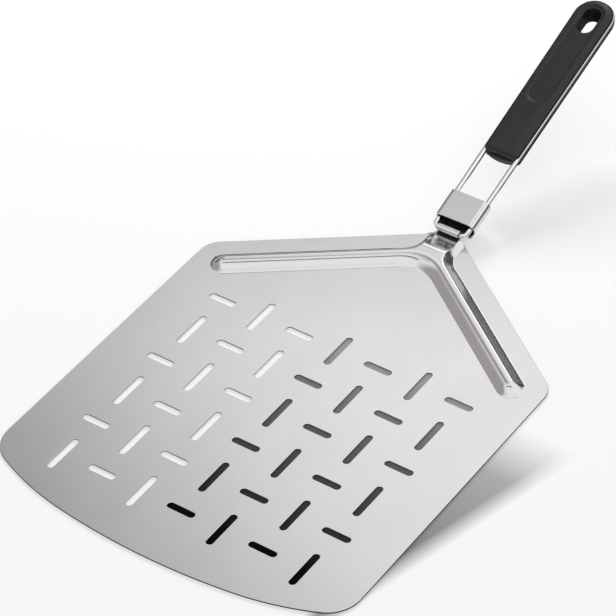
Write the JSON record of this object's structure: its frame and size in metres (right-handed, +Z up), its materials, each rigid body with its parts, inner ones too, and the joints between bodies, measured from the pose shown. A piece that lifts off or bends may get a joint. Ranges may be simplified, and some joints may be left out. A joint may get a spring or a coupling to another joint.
{
  "type": "pizza peel",
  "caption": "Slotted steel pizza peel with a raised rib, a folding bent-rod handle with a screwed plastic grip and hang hole, and a sleeve that slides over the hinge to lock it.",
  "frame": {"origin": "on the ground under the middle of the whole peel's box, with the handle unfolded", "axes": "+Y from the blade's front edge towards the handle, +Z up out of the face that carries the pizza, +X to the right seen from the front edge"},
  "size_m": [0.305, 0.6118, 0.0855],
  "materials": {
    "blade_steel": "satin, fine brushed",
    "rod_steel": "polished",
    "sleeve_steel": "satin",
    "screw_steel": "plain",
    "grip_upper_plastic": "fine moulded texture",
    "grip_lower_plastic": "fine moulded texture"
  },
  "bodies": {
    "blade": {"blade": "blade_steel"},
    "handle": {"wire_frame": "rod_steel", "grip_upper": "grip_upper_plastic", "grip_lower": "grip_lower_plastic", "grip_screw_1": "screw_steel", "grip_screw_2": "screw_steel", "grip_screw_3": "screw_steel"},
    "sleeve": {"lock_sleeve": "sleeve_steel"}
  },
  "joints": [
    {"name": "handle_fold", "type": "hinge", "parent": "blade", "child": "handle", "pos_m": [0, 0.08352, 0.0084], "axis": [1, 0, 0], "range_deg": [0, 145]},
    {"name": "lock_slide", "type": "slide", "parent": "handle", "child": "sleeve", "axis": [0, 0.9494, 0.314], "range_m": [-0.0045, 0.033]}
  ]
}
